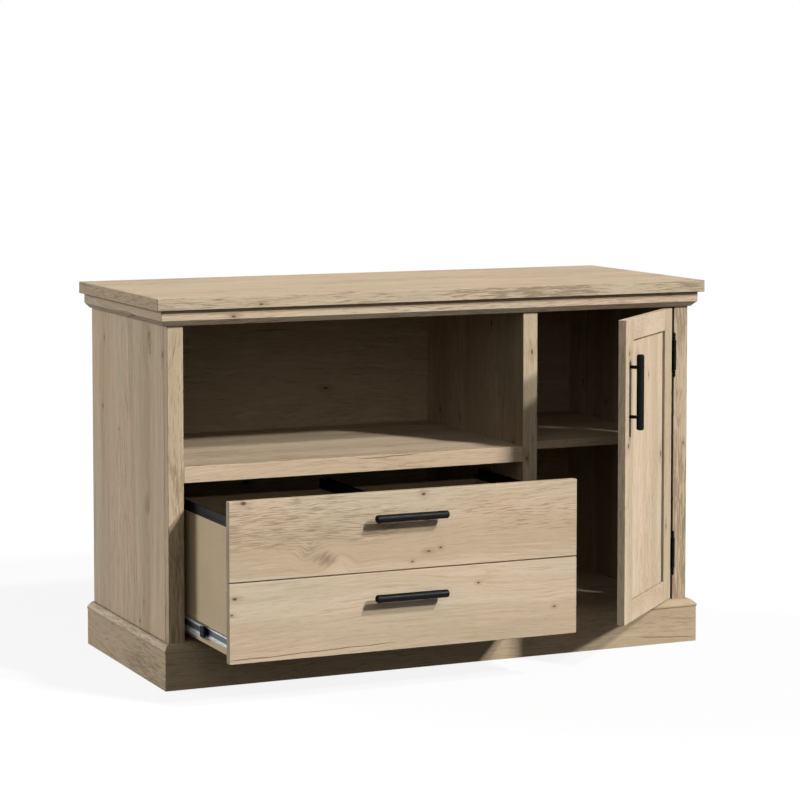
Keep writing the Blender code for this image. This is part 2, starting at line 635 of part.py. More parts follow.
def finial_profile(sign, start):
    """A ribbed finial from a barrel's end outwards, as pairs of radius and height."""
    shares = [(0.48, 0.02), (0.48, 0.12), (0.70, 0.18), (0.70, 0.34), (0.48, 0.40), (0.48, 0.50),
              (0.70, 0.56), (0.70, 0.74), (0.44, 0.80), (0.44, 0.94), (0.0, 1.0)]
    return [(BARREL_RADIUS * r, start + sign * FINIAL_LENGTH * h) for r, h in shares]


def build_hinge(label, middle, black_metal, door):
    """A butt hinge: the case leaf with its pin and finials, and the door leaf that turns on it."""
    half = BARREL_LENGTH / 2
    core = half - KNUCKLE_LENGTH
    lower = list(reversed(finial_profile(-1, -half)))
    upper = finial_profile(1, half)
    profile = lower + [(BARREL_RADIUS, -half), (BARREL_RADIUS, -core), (HINGE_PIN_RADIUS, -core),
                       (HINGE_PIN_RADIUS, core), (BARREL_RADIUS, core), (BARREL_RADIUS, half)] + upper
    place = (HINGE_AXIS_X, HINGE_AXIS_Y, middle)
    case_part = add_object(f"hinge_{label}_case_leaf", aim(turned(profile, 24), (0, 0, 1), place),
                           black_metal)
    stile_face = STILE_INNER_X - GAP
    plate_x = (stile_face - LEAF_THICKNESS, stile_face)
    plate_y = (HINGE_AXIS_Y + BARREL_RADIUS + LEAF_CLEARANCE, CASE_FRONT + LEAF_DEPTH)
    plate = board(f"hinge_{label}_case_plate", plate_x, plate_y, (middle - half, middle + half),
                  black_metal, edge=0)
    combine(case_part, plate, "UNION")
    for number, low in enumerate((middle - half, middle + core), start=1):
        arm = board(f"hinge_{label}_case_arm_{number}", plate_x,
                    (HINGE_AXIS_Y + BARREL_RADIUS / 4, CASE_FRONT),
                    (low + GAP, low + KNUCKLE_LENGTH - GAP), black_metal, edge=0)
        combine(case_part, arm, "UNION")
    smooth(case_part, 30)

    reach = core - GAP
    ring = [(BARREL_RADIUS, -reach), (BARREL_RADIUS, reach), (HINGE_BORE_RADIUS, reach),
            (HINGE_BORE_RADIUS, -reach)]
    knuckle = aim(turned(ring, 24, closed=True), (0, 0, 1), place)
    door_part = add_object(f"hinge_{label}_door_leaf", knuckle, black_metal, door)
    door_face = DOOR_HINGE_X + GAP
    plate_x = (door_face, door_face + LEAF_THICKNESS)
    plate = board(f"hinge_{label}_door_plate", plate_x, plate_y, (middle - half, middle + half),
                  black_metal, door, edge=0)
    combine(door_part, plate, "UNION")
    arm = board(f"hinge_{label}_door_arm", plate_x,
                (HINGE_AXIS_Y + (BARREL_RADIUS + HINGE_BORE_RADIUS) / 2, CASE_FRONT),
                (middle - reach + GAP, middle + reach - GAP), black_metal, door, edge=0)
    combine(door_part, arm, "UNION")
    smooth(door_part, 30)


def main():
    clear_scene()
    oak = make_material("light_oak", (0.56, 0.44, 0.29), 0.55)
    liner = make_material("drawer_liner", (0.60, 0.50, 0.36), 0.60)
    black_metal = make_material("black_metal", (0.020, 0.020, 0.020), 0.38, 0.6)
    black_plastic = make_material("black_plastic", (0.018, 0.018, 0.018), 0.50)
    zinc = make_material("zinc_plate", (0.62, 0.64, 0.66), 0.30, 1.0)
    steel = make_material("steel", (0.55, 0.55, 0.56), 0.35, 1.0)

    drawer = make_empty("drawer_joint", (DRAWER_MIDDLE_X, CASE_FRONT, 0))
    door = make_empty("door_joint", (HINGE_AXIS_X, HINGE_AXIS_Y, 0))
    middles = {
        "left": make_empty("slide_joint_left", (-PANEL_INNER_X, SLIDE_FRONT, SLIDE_Z)),
        "right": make_empty("slide_joint_right", (DIVIDER_PANEL_LEFT, SLIDE_FRONT, SLIDE_Z)),
    }

    build_case(oak)
    build_loose_shelf(oak, steel)
    build_slides(zinc, black_plastic, drawer, middles)
    front, sub_front = build_drawer(oak, liner, black_plastic, drawer)
    build_drawer_pulls(front, sub_front, black_metal, steel, drawer)
    stile = build_door(oak, door)
    build_door_pull(stile, black_metal, steel, door)
    build_hinge("upper", DOOR_HEAD - UPPER_HINGE_DROP, black_metal, door)
    build_hinge("lower", DOOR_FOOT + LOWER_HINGE_RISE, black_metal, door)

    drawer.location.y -= DRAWER_OPEN
    for middle in middles.values():
        middle.location.y -= DRAWER_OPEN / 2
    door.rotation_euler.z = radians(DOOR_OPEN_DEGREES)


main()
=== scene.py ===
import bpy
import math
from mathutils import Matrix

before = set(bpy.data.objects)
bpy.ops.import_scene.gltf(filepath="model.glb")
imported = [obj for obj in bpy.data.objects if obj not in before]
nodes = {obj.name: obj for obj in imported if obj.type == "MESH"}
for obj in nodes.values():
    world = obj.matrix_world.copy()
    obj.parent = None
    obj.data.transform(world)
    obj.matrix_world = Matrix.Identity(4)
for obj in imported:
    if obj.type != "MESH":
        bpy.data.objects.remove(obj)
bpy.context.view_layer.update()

SQUARE_ON = 0.8      # a face looks along an axis where its normal's share of that axis is above this
WHITE = (1.0, 1.0, 1.0, 1.0)


# Colours are written as on the screen, 0 to 255, and turned into the linear values that shaders use

def linear(red, green, blue):
    levels = []
    for level in (red, green, blue):
        share = level / 255
        levels.append(share / 12.92 if share <= 0.04045 else ((share + 0.055) / 1.055) ** 2.4)
    return (levels[0], levels[1], levels[2], 1.0)


class Nodes:
    """Short calls for the nodes of one tree. Most give the socket that the next call takes."""

    def __init__(self, tree):
        self.tree = tree

    def node(self, kind, **settings):
        made = self.tree.nodes.new(kind)
        for key, value in settings.items():
            setattr(made, key, value)
        return made

    def put(self, socket, value):
        if isinstance(value, bpy.types.NodeSocket):
            self.tree.links.new(value, socket)
        else:
            socket.default_value = value

    def math(self, operation, first, second=0.0, third=0.0):
        made = self.node("ShaderNodeMath", operation=operation)
        for socket, value in zip(made.inputs, (first, second, third)):
            self.put(socket, value)
        return made.outputs[0]

    def vector(self, x, y, z):
        made = self.node("ShaderNodeCombineXYZ")
        for socket, value in zip(made.inputs, (x, y, z)):
            self.put(socket, value)
        return made.outputs[0]

    def split(self, vector):
        made = self.node("ShaderNodeSeparateXYZ")
        self.put(made.inputs[0], vector)
        return made.outputs

    def scaled(self, vector, scale, offset=(0.0, 0.0, 0.0)):
        made = self.node("ShaderNodeVectorMath", operation="MULTIPLY_ADD")
        self.put(made.inputs[0], vector)
        made.inputs[1].default_value = scale
        made.inputs[2].default_value = offset
        return made.outputs[0]

    def length(self, vector):
        made = self.node("ShaderNodeVectorMath", operation="LENGTH")
        self.put(made.inputs[0], vector)
        return made.outputs["Value"]

    def noise(self, vector, detail=2.0, roughness=0.5):
        made = self.node("ShaderNodeTexNoise")
        self.put(made.inputs["Vector"], vector)
        made.inputs["Scale"].default_value = 1.0
        made.inputs["Detail"].default_value = detail
        made.inputs["Roughness"].default_value = roughness
        return made.outputs["Fac"]

    def span(self, value, low, high, first=0.0, last=1.0):
        """Goes softly from first to last while the value goes from low to high."""
        made = self.node("ShaderNodeMapRange", clamp=True, interpolation_type="SMOOTHSTEP")
        for socket, number in zip(made.inputs, (value, low, high, first, last)):
            self.put(socket, number)
        return made.outputs[0]

    def blend(self, share, first, second):
        """Mixes two colours, which a Mix node takes at its sockets 6 and 7 and gives at its socket 2."""
        made = self.node("ShaderNodeMix", data_type="RGBA")
        self.put(made.inputs[0], share)
        self.put(made.inputs[6], first)
        self.put(made.inputs[7], second)
        return made.outputs[2]

    def seen_as_white(self):
        """Two sockets that are 1 or 0: whether the camera looks straight at the surface, and whether it
        sees it at all, also in a reflection or through glass."""
        path = self.node("ShaderNodeLightPath")
        straight = path.outputs["Is Camera Ray"]
        reflected = self.math("MAXIMUM", straight, path.outputs["Is Glossy Ray"])
        return straight, self.math("MAXIMUM", reflected, path.outputs["Is Transmission Ray"])


class Shader(Nodes):
    """A new material with its nodes."""

    def __init__(self, name):
        self.material = bpy.data.materials.new(name)
        self.material.use_nodes = True
        super().__init__(self.material.node_tree)
        self.surface = self.tree.nodes["Principled BSDF"]

    def place(self):
        return self.node("ShaderNodeTexCoord").outputs["Object"]

    def complete(self, colour, roughness, height, strength, distance):
        """Connects what varies over the surface, and gives it a fine relief."""
        self.put(self.surface.inputs["Base Color"], colour)
        self.put(self.surface.inputs["Roughness"], roughness)
        made = self.node("ShaderNodeBump")
        made.inputs["Strength"].default_value = strength
        made.inputs["Distance"].default_value = distance
        self.put(made.inputs["Height"], height)
        self.put(self.surface.inputs["Normal"], made.outputs[0])
        return self.material


# Printed light oak. Every length is in metres. A place on a board is read as along the grain, across it and
# through the board, so that one recipe serves boards whose grain runs along X, Y or Z. On a face that ends
# the grain, the print runs along the edge instead.

OAK_PALE = linear(217, 199, 174)
OAK_MID = linear(204, 184, 156)
OAK_DEEP = linear(178, 156, 126)
OAK_GREY = linear(188, 177, 151)
OAK_ROSE = linear(210, 180, 154)
OAK_PORE = linear(116, 95, 68)
OAK_KNOT = linear(84, 62, 40)
OAK_SPECULAR = 0.15
SEED_STEP = (3.17, 1.73, 0.91)      # how far a step of the seed shifts the print

# On a face that ends the grain: the axes along the print, across it and through the board, for each axis that
# the grain may run along

END_ORDER = {"X": (1, 2, 0), "Y": (0, 2, 1), "Z": (0, 1, 2)}

# How often each layer of the print changes in a metre, along the grain and across it

SWAY = (1.3, 4.0)         # slow bends of the grain
WAVE = (17.0, 34.0)       # short waves of the grain
TONE = (1.8, 7.0)         # rosy and grey patches
PLANK = (0.35, 11.0)      # broad bands, as of planks side by side
BAND = (1.1, 42.0)        # narrower pale and brown bands
STREAK = (9.0, 230.0)     # fine streaks
DASH = (25.0, 600.0)      # short dark dashes
HAIR = (30.0, 1100.0)     # hairlines
CROWD = (2.6, 9.0)        # places where the dashes crowd
CELL = (5.0, 11.0)        # cells that may hold a small knot
RIDGE = (0.8, 13.0)       # lines that may split
STRETCH = (2.9, 6.0)      # stretches where they do split
SWAY_LIFT = 0.09          # how far a slow bend carries the grain
WAVE_LIFT = 0.0065        # how far a short wave does

KNOT_SLIMNESS = 0.6       # a knot's width for a length of 1
KNOT_EDGE = (0.4, 1.3)    # where a knot fades out, in its own size
HALO_EDGE = (0.8, 5.0)    # where the darker wood round it does
LISTED_HALO_EDGE = (0.8, 4.5)       # the same for a knot of a list
CHANCE_KNOT_SIZE = (0.034, 0.012)   # in cells: the range of sizes, and the smallest

SPLIT_EDGE = (0.001, 0.006)         # where a split fades out, in steps of the noise that it follows
CRACK_EDGE = (0.0004, 0.0013)       # where a crack fades out from its line, in metres
CRACK_WAVE = 0.006                  # how far its line waves
CRACK_DARKNESS = 0.75


def layer(shader, place, often, seed, detail=2.0, roughness=0.5):
    """Noise that changes as often as the pair says, along the grain and across it. The seed picks a
    stretch of it."""
    shift = (seed * SEED_STEP[0], seed * SEED_STEP[1], seed * SEED_STEP[2])
    return shader.noise(shader.scaled(place, (often[0], often[1], often[1]), shift), detail, roughness)


def board_place(shader, grain):
    """The place as along the grain, across it and through the board."""
    coordinates = shader.node("ShaderNodeTexCoord")
    place = shader.split(coordinates.outputs["Object"])
    normal = shader.split(coordinates.outputs["Normal"])
    first = "XYZ".index(grain[0])
    second = "XYZ".index(grain[1])
    end = shader.math("GREATER_THAN", shader.math("ABSOLUTE", normal[first]), SQUARE_ON)
    parts = []
    for usual, at_end in zip((first, second, 3 - first - second), END_ORDER[grain[0]]):
        swing = shader.math("SUBTRACT", place[at_end], place[usual])
        parts.append(shader.math("MULTIPLY_ADD", swing, end, place[usual]))
    return shader.vector(parts[0], parts[1], parts[2])


def swirl_round(shader, board, swirl):
    """Turns the grain round a large knot. Gives the turned place, and how near the knot's core it is."""
    along, across, size, turn = swirl
    slim = (KNOT_SLIMNESS, 1.0, 0.0)
    away = shader.length(shader.scaled(board, slim, (-along * KNOT_SLIMNESS, -across, 0.0)))
    near = shader.span(away, size * 0.2, size * 2.2, 1.0, 0.0)
    core = shader.span(away, 0.0, size, 1.0, 0.0)
    rotate = shader.node("ShaderNodeVectorRotate", rotation_type="AXIS_ANGLE")
    shader.put(rotate.inputs["Vector"], board)
    rotate.inputs["Center"].default_value = (along, across, 0.0)
    rotate.inputs["Axis"].default_value = (0.0, 0.0, 1.0)
    shader.put(rotate.inputs["Angle"], shader.math("MULTIPLY", near, turn))
    return rotate.outputs[0], core


def small_knots(shader, board, fibre, seed, spots, knots):
    """Small knots lie in some cells of a wide grid, so that they fall here and there, and where the list
    says. Gives the knots and the darker wood round them."""
    shift = (seed * SEED_STEP[0], seed * SEED_STEP[1], seed * SEED_STEP[2])
    cells = shader.node("ShaderNodeTexVoronoi", voronoi_dimensions="2D")
    shader.put(cells.inputs["Vector"], shader.scaled(fibre, (CELL[0], CELL[1], CELL[1]), shift))
    cells.inputs["Scale"].default_value = 1.0
    chance = shader.split(cells.outputs["Color"])
    picked = shader.math("LESS_THAN", chance[0], spots)
    size = shader.math("MULTIPLY_ADD", chance[1], CHANCE_KNOT_SIZE[0], CHANCE_KNOT_SIZE[1])
    distance = shader.math("DIVIDE", cells.outputs["Distance"], size)
    spot = shader.math("MULTIPLY", shader.span(distance, KNOT_EDGE[0], KNOT_EDGE[1], 0.85, 0.0), picked)
    halo = shader.math("MULTIPLY", shader.span(distance, HALO_EDGE[0], HALO_EDGE[1], 0.3, 0.0), picked)
    for along, across, size in knots:
        scale = (KNOT_SLIMNESS / size, 1.0 / size, 0.0)
        away = shader.length(shader.scaled(board, scale, (-along * scale[0], -across * scale[1], 0.0)))
        listed = shader.span(away, KNOT_EDGE[0], KNOT_EDGE[1], 0.9, 0.0)
        spot = shader.math("MAXIMUM", spot, listed)
        listed = shader.span(away, LISTED_HALO_EDGE[0], LISTED_HALO_EDGE[1], 0.25, 0.0)
        halo = shader.math("MAXIMUM", halo, listed)
    return spot, halo


def splits_and_cracks(shader, board, fibre, wave, seed, splits, cracks):
    """Thin splits run with the grain for part of their length, and cracks run where the list says."""
    ridge = layer(shader, fibre, RIDGE, seed, 0.0)
    off = shader.math("ABSOLUTE", shader.math("SUBTRACT", ridge, 0.5))
    line = shader.span(off, SPLIT_EDGE[0], SPLIT_EDGE[1], 1.0, 0.0)
    stretch = layer(shader, board, STRETCH, seed, 1.0)
    dark = shader.math("MULTIPLY", line, shader.span(stretch, 0.58, 0.64, 0.0, splits))
    for start, level, end, end_level in cracks:
        slope = (end_level - level) / (end - start)
        lie = shader.split(board)
        path = shader.math("MULTIPLY_ADD", lie[0], slope, level - slope * start)
        path = shader.math("MULTIPLY_ADD", shader.math("SUBTRACT", wave, 0.5), CRACK_WAVE, path)
        off = shader.math("ABSOLUTE", shader.math("SUBTRACT", lie[1], path))
        begin = shader.span(lie[0], start - 0.01, start + 0.02, 0.0, CRACK_DARKNESS)
        stop = shader.span(lie[0], end - 0.03, end + 0.01, 1.0, 0.0)
        reach = shader.math("MULTIPLY", begin, stop)
        thin = shader.span(off, CRACK_EDGE[0], CRACK_EDGE[1], 1.0, 0.0)
        dark = shader.math("MAXIMUM", dark, shader.math("MULTIPLY", reach, thin))
    return dark


def oak(name, grain, seed, busy=0.5, planks=0.5, spots=0.3, lean=0.0, splits=0.7, swirls=(), knots=(),
        cracks=(), fade=None):
    """grain names the axes along and across the grain. busy is how densely short dark dashes lie, planks how
    strongly broad bands differ, spots the share of cells that hold a small knot, and lean how far the whole
    print leans to the deeper brown, or below 0 to the paler one. splits is how dark the splits are that lie
    here and there. A swirl is a large knot: along, across, size and the turn of the grain in it. A knot is
    small: along, across and size. A crack runs from one pair of along and across to another. Between the two
    places across the grain that fade gives, the dashes die away."""
    shader = Shader(name)
    board = board_place(shader, grain)
    gather = None
    for swirl in swirls:
        board, core = swirl_round(shader, board, swirl)
        gather = core if gather is None else shader.math("MAXIMUM", gather, core)

    # The grain bends slowly and waves a little
    sway = shader.math("SUBTRACT", layer(shader, board, SWAY, seed), 0.5)
    wave = layer(shader, board, WAVE, seed, 1.0)
    lift = shader.math("MULTIPLY", sway, SWAY_LIFT)
    lift = shader.math("MULTIPLY_ADD", shader.math("SUBTRACT", wave, 0.5), WAVE_LIFT, lift)
    bent = shader.node("ShaderNodeVectorMath", operation="ADD")
    shader.put(bent.inputs[0], board)
    shader.put(bent.inputs[1], shader.vector(0.0, lift, 0.0))
    fibre = bent.outputs[0]

    # Patches, bands and streaks, from broad to fine
    tone = layer(shader, board, TONE, seed)
    plank = layer(shader, fibre, PLANK, seed, 2.0, 0.55)
    band = layer(shader, fibre, BAND, seed, 3.0, 0.6)
    streak = layer(shader, fibre, STREAK, seed, 3.0, 0.65)
    colour = shader.blend(shader.span(band, 0.34, 0.66), OAK_PALE, OAK_MID)
    hue = shader.blend(shader.span(tone, 0.4, 0.6), OAK_ROSE, OAK_GREY)
    colour = shader.blend(0.3 + 0.25 * planks, colour, hue)
    colour = shader.blend(abs(lean), colour, OAK_DEEP if lean > 0 else OAK_PALE)
    colour = shader.blend(shader.span(plank, 0.4, 0.62, 0.0, planks), colour, OAK_DEEP)
    colour = shader.blend(shader.span(streak, 0.46, 0.74, 0.0, 0.6), colour, OAK_DEEP)
    colour = shader.blend(shader.span(streak, 0.44, 0.24, 0.0, 0.5), colour, OAK_PALE)

    # Short dark dashes, denser and darker on a busy board, and hairlines
    dash = layer(shader, fibre, DASH, seed, 2.0, 0.6)
    hair = layer(shader, fibre, HAIR, seed, 2.0, 0.6)
    crowd = layer(shader, board, CROWD, seed)
    edge = shader.span(crowd, 0.42, 0.6, 0.64 - 0.06 * busy, 0.58 - 0.13 * busy)
    over = shader.math("DIVIDE", shader.math("SUBTRACT", dash, edge), 0.12)
    pore = shader.math("MULTIPLY", shader.span(over, 0.0, 1.0), 0.32 + 0.22 * busy)
    if fade is not None:
        pore = shader.math("MULTIPLY", pore, shader.span(shader.split(board)[1], fade[0], fade[1], 1.0, 0.2))
    colour = shader.blend(pore, colour, OAK_PORE)
    fine = shader.span(hair, 0.54, 0.78, 0.0, 0.45)
    colour = shader.blend(fine, colour, OAK_PORE)
    if gather is not None:
        ray = shader.math("MULTIPLY", gather, shader.span(dash, 0.47, 0.6))
        colour = shader.blend(shader.math("MULTIPLY", gather, 0.22), colour, OAK_PORE)
        colour = shader.blend(shader.math("MULTIPLY", ray, 0.85), colour, OAK_KNOT)

    spot, halo = small_knots(shader, board, fibre, seed, spots, knots)
    colour = shader.blend(halo, colour, OAK_PORE)
    colour = shader.blend(spot, colour, OAK_KNOT)
    dark = splits_and_cracks(shader, board, fibre, wave, seed, splits, cracks)
    colour = shader.blend(dark, colour, OAK_KNOT)

    shader.surface.inputs["Specular IOR Level"].default_value = OAK_SPECULAR
    roughness = shader.span(streak, 0.3, 0.7, 0.52, 0.64)
    height = shader.math("SUBTRACT", streak, shader.math("ADD", pore, shader.math("ADD", fine, dark)))
    return shader.complete(colour, roughness, height, 0.35, 0.0004)


def plain_board(name, pale, deep, grain_scale):
    """Board without a printed figure, in two close tones."""
    shader = Shader(name)
    place = shader.place()
    cloud = shader.noise(shader.scaled(place, (9.0, 9.0, 9.0)), 3.0, 0.6)
    speck = shader.noise(shader.scaled(place, grain_scale), 3.0, 0.65)
    colour = shader.blend(shader.span(cloud, 0.35, 0.65), pale, deep)
    colour = shader.blend(shader.span(speck, 0.5, 0.75, 0.0, 0.5), colour, deep)
    return shader.complete(colour, shader.span(speck, 0.3, 0.7, 0.6, 0.75), speck, 0.3, 0.0003)


def black_finish(name, colour, shine, low, high, scale):
    """Black paint or plastic. low and high are its roughness, and scale how fine its grit is."""
    shader = Shader(name)
    place = shader.place()
    grit = shader.noise(shader.scaled(place, (scale, scale, scale)), 3.0, 0.6)
    wear = shader.noise(shader.scaled(place, (60.0, 60.0, 60.0)))
    tone = shader.blend(shader.span(wear, 0.4, 0.7), colour, linear(22, 21, 20))
    shader.surface.inputs["Specular IOR Level"].default_value = shine
    return shader.complete(tone, shader.span(wear, 0.35, 0.65, low, high), grit, 0.25, 0.0002)


def bare_metal(name, colour, shade, low, high, scale, painted_shade_height=None):
    """Bare metal in two close tones. low and high are its roughness, and scale how fine it is brushed.
    At the height that painted_shade_height gives, the metal is painted dark for 5 mm up and down between two
    bright lips: painted shade, as in the channel of a slide."""
    shader = Shader(name)
    place = shader.place()
    brushed = shader.noise(shader.scaled(place, scale), 3.0, 0.6)
    patch = shader.noise(shader.scaled(place, (40.0, 40.0, 40.0)))
    tone = shader.blend(shader.span(patch, 0.35, 0.7), colour, shade)
    if painted_shade_height is not None:
        # Painted shade: a dark band about the given height, as in the channel between the lips.
        off = shader.math("ABSOLUTE", shader.math("SUBTRACT", shader.split(place)[2], painted_shade_height))
        tone = shader.blend(shader.span(off, 0.0045, 0.006, 1.0, 0.0), tone, linear(88, 97, 95))
    shader.surface.inputs["Metallic"].default_value = 1.0
    return shader.complete(tone, shader.span(brushed, 0.3, 0.7, low, high), brushed, 0.2, 0.0002)


def dress(material, *names):
    for name in names:
        mesh = nodes[name].data
        mesh.materials.clear()
        mesh.materials.append(material)


def band_edges(material, axis, *names):
    """The faces of a board that look along this axis, 0 for X and 1 for Y, get a material of their own."""
    for name in names:
        mesh = nodes[name].data
        mesh.materials.append(material)
        for face in mesh.polygons:
            if abs(face.normal[axis]) > SQUARE_ON:
                face.material_index = len(mesh.materials) - 1


SLOPING = (0.2, 0.95)     # a face slopes upwards where the height of its normal lies between these


def band_slopes_painted_highlight(material, *names):
    """The faces of a moulding that slope upwards get a material of their own, a paler one here: painted
    highlight where the slopes catch the light from above.
    """
    for name in names:
        mesh = nodes[name].data
        mesh.materials.append(material)
        for face in mesh.polygons:
            if SLOPING[0] < face.normal[2] < SLOPING[1]:
                face.material_index = len(mesh.materials) - 1


EASE_OF_BOARDS = 0.0009
EASE_OF_MOULDINGS = 0.0007
EASED_FROM = 50           # edges that turn by fewer degrees stay as they are
SAME_PLACE = 0.00001      # corners closer than this are one corner


def ease(width, *names):
    """The edges are eased a little, so that they catch the light, and each face is shaded flat."""
    for name in names:
        for face in nodes[name].data.polygons:
            face.use_smooth = False
        weld = nodes[name].modifiers.new("weld", "WELD")
        weld.merge_threshold = SAME_PLACE
        bevel = nodes[name].modifiers.new("ease", "BEVEL")
        bevel.width = width
        bevel.segments = 2
        bevel.limit_method = "ANGLE"
        bevel.angle_limit = math.radians(EASED_FROM)


# Top, cornice and plinth

PLINTH_CRACKS = ((0.448, 0.018, 0.583, 0.008),)
# The top leans to the deeper brown: painted shade, which offsets the light that falls on the top.
dress(oak("oak top painted shade", "XY", 1, busy=0.8, lean=0.65), "top_panel")
band_edges(oak("oak edge band", "XZ", 18, busy=1.4, planks=0.7, lean=0.15), 1, "top_panel")
band_edges(oak("oak end band", "XZ", 19, busy=1.8, planks=0.8, lean=0.95), 0, "top_panel")
dress(oak("oak cornice front", "XZ", 2, busy=0.8), "cornice_front")
dress(oak("oak side trims", "YZ", 3, busy=1.1, lean=0.5), "cornice_left", "cornice_right")
dress(oak("oak plinth sides", "YZ", 3, busy=1.5, lean=0.8), "plinth_left", "plinth_right")
# The upward slopes of the plinth's sides get the palest print: painted highlight, as they catch the light
# from above.
plinth_slopes_painted_highlight = oak("oak plinth slopes painted highlight", "YZ", 22, busy=0.9, planks=0.0, lean=-1.0)
band_slopes_painted_highlight(plinth_slopes_painted_highlight, "plinth_left", "plinth_right")
dress(oak("oak plinth front", "XZ", 4, busy=0.4, lean=0.6, cracks=PLINTH_CRACKS), "plinth_front")

# Case. The end panels' knots are as along and across: height, and place from front to back.

SIDE_SWIRL = (0.66, -0.119, 0.016, 0.7)
LOW_SWIRL = (0.34, -0.1, 0.02, 0.6)
SIDE_KNOTS = ((0.673, -0.108, 0.003), (0.646, -0.132, 0.002), (0.143, -0.075, 0.002),
              (0.101, -0.05, 0.003), (0.504, 0.177, 0.003), (0.469, 0.073, 0.002))
SIDE_LOOK = {"busy": 0.5, "planks": 1.0, "spots": 0.12, "lean": 0.15, "knots": SIDE_KNOTS}
SHELF_CRACKS = ((-0.171, 0.424, -0.041, 0.426),)
dress(oak("oak left panel", "ZY", 5, swirls=(SIDE_SWIRL, LOW_SWIRL), **SIDE_LOOK), "end_panel_left")
dress(oak("oak right panel", "ZY", 6, swirls=(LOW_SWIRL,), **SIDE_LOOK), "end_panel_right")
stile_oak = oak("oak stiles", "ZX", 7, busy=1.2, lean=0.3, splits=0.1)
dress(stile_oak, "stile_left", "stile_right", "divider_stile")
dress(oak("oak divider", "ZY", 17), "divider_panel")
dress(oak("oak rails", "XZ", 8), "top_rail_front", "base_rail_back", "center_support")
dress(oak("oak floor", "XY", 20), "bottom_panel")
dress(oak("oak shelves", "XY", 9, busy=0.8, lean=0.1), "cubby_shelf", "adjustable_shelf")
shelf_edge = oak("oak shelf edge", "XZ", 21, busy=0.5, lean=0.3, cracks=SHELF_CRACKS)
band_edges(shelf_edge, 1, "cubby_shelf")
# The back leans far to the deeper brown: painted shade, as the back lies deep in the recesses of the case.
dress(oak("oak back painted shade", "XZ", 14, lean=0.85), "back_panel")

# Drawer. The front's knots are as along and across: place from left to right, and height.

FRONT_SWIRL = (-0.345, 0.275, 0.02, -0.9)
FRONT_KNOTS = ((-0.507, 0.39, 0.004), (-0.142, 0.385, 0.003), (-0.165, 0.257, 0.0018),
               (-0.106, 0.28, 0.002), (-0.026, 0.206, 0.002), (0.138, 0.147, 0.002),
               (-0.525, 0.213, 0.0032), (-0.531, 0.183, 0.002))
FRONT_CRACKS = ((-0.54, 0.0975, -0.2, 0.105),)
FRONT_FADE = (0.315, 0.285)
front_oak = oak("oak drawer front", "XZ", 10, busy=0.9, spots=0.05, swirls=(FRONT_SWIRL,), knots=FRONT_KNOTS,
                cracks=FRONT_CRACKS, fade=FRONT_FADE)
dress(front_oak, "drawer_front")
end_band = plain_board("drawer front ends", linear(154, 139, 110), linear(134, 120, 92), (260.0, 260.0, 40.0))
band_edges(end_band, 0, "drawer_front")
side_board = plain_board("drawer sides", linear(194, 170, 134), linear(184, 164, 130), (260.0, 40.0, 260.0))
dress(side_board, "drawer_side_left", "drawer_side_right", "drawer_back", "drawer_sub_front")
liner = plain_board("drawer liner", linear(196, 178, 150), linear(176, 156, 126), (300.0, 300.0, 300.0))
dress(liner, "drawer_bottom")

# Door

# The door's boards lean to the paler print: painted light, as the open door's front is lit more brightly.
dress(oak("oak door frame painted light", "ZX", 11, lean=-0.1, splits=0.2), "door_stile_free", "door_stile_hinge")
dress(oak("oak door rails painted light", "XZ", 12, lean=-0.1), "door_rail_top", "door_rail_bottom")
dress(oak("oak door panel painted light", "ZX", 13, spots=0.6, lean=-0.15), "door_panel")

# Fittings

SLIDE_MIDDLE = 0.126              # height of the slides' middle line
BRUSHED = (900.0, 60.0, 900.0)    # how fine a finish is along X, Y and Z: brushed from front to back
GROUND = (700.0, 700.0, 700.0)    # the same all ways
satin = black_finish("satin black", linear(16, 15, 15), 0.1, 0.36, 0.48, 1800.0)
dress(satin, "drawer_pull_upper", "drawer_pull_lower", "door_pull")
dress(satin, "hinge_upper_case_leaf", "hinge_upper_door_leaf")
dress(satin, "hinge_lower_case_leaf", "hinge_lower_door_leaf")
matt = black_finish("black plastic", linear(9, 9, 9), 0.1, 0.45, 0.58, 1200.0)
dress(matt, "slide_catch_left", "slide_catch_right")
dress(matt, "file_rail_left", "file_rail_center", "file_rail_right")
zinc = bare_metal("zinc plate", linear(206, 210, 214), linear(176, 182, 188), 0.28, 0.42, BRUSHED)
# The sides of the slides' middle and inner members are paler zinc, a painted highlight on their lips, with a
# dark band about SLIDE_MIDDLE as painted shade in the channel between them.
web_painted_shade_and_highlight = bare_metal("zinc web", linear(218, 222, 226), linear(190, 196, 200), 0.3, 0.42, BRUSHED, SLIDE_MIDDLE)
dress(zinc, "slide_outer_left", "slide_outer_right", "slide_middle_left", "slide_middle_right")
dress(zinc, "slide_inner_left", "slide_inner_right")
band_edges(web_painted_shade_and_highlight, 0, "slide_middle_left", "slide_inner_left", "slide_middle_right", "slide_inner_right")
steel = bare_metal("plain steel", linear(190, 190, 192), linear(160, 160, 164), 0.3, 0.45, GROUND)
dress(steel, "door_pull_screw_1", "door_pull_screw_2")
dress(steel, "pull_screw_upper_1", "pull_screw_upper_2", "pull_screw_lower_1", "pull_screw_lower_2")
dress(steel, "shelf_pin_front_left", "shelf_pin_front_right", "shelf_pin_rear_left", "shelf_pin_rear_right")

ease(EASE_OF_BOARDS, "top_panel", "cubby_shelf", "adjustable_shelf", "stile_left", "stile_right")
ease(EASE_OF_BOARDS, "divider_stile", "drawer_front", "door_stile_free", "door_stile_hinge")
ease(EASE_OF_BOARDS, "door_rail_top", "door_rail_bottom")
ease(EASE_OF_MOULDINGS, "plinth_front", "plinth_left", "plinth_right")
ease(EASE_OF_MOULDINGS, "cornice_front", "cornice_left", "cornice_right")

# A plain pale floor: the camera sees it white, and it keeps the object's shadow

FLOOR_REACH = 9.0
FLOOR_DROP = 0.0005       # it lies this far under the object, so that the two don't touch
FLOOR_WHITE_SHARE = 0.88  # how far the camera's white covers the floor's shadows


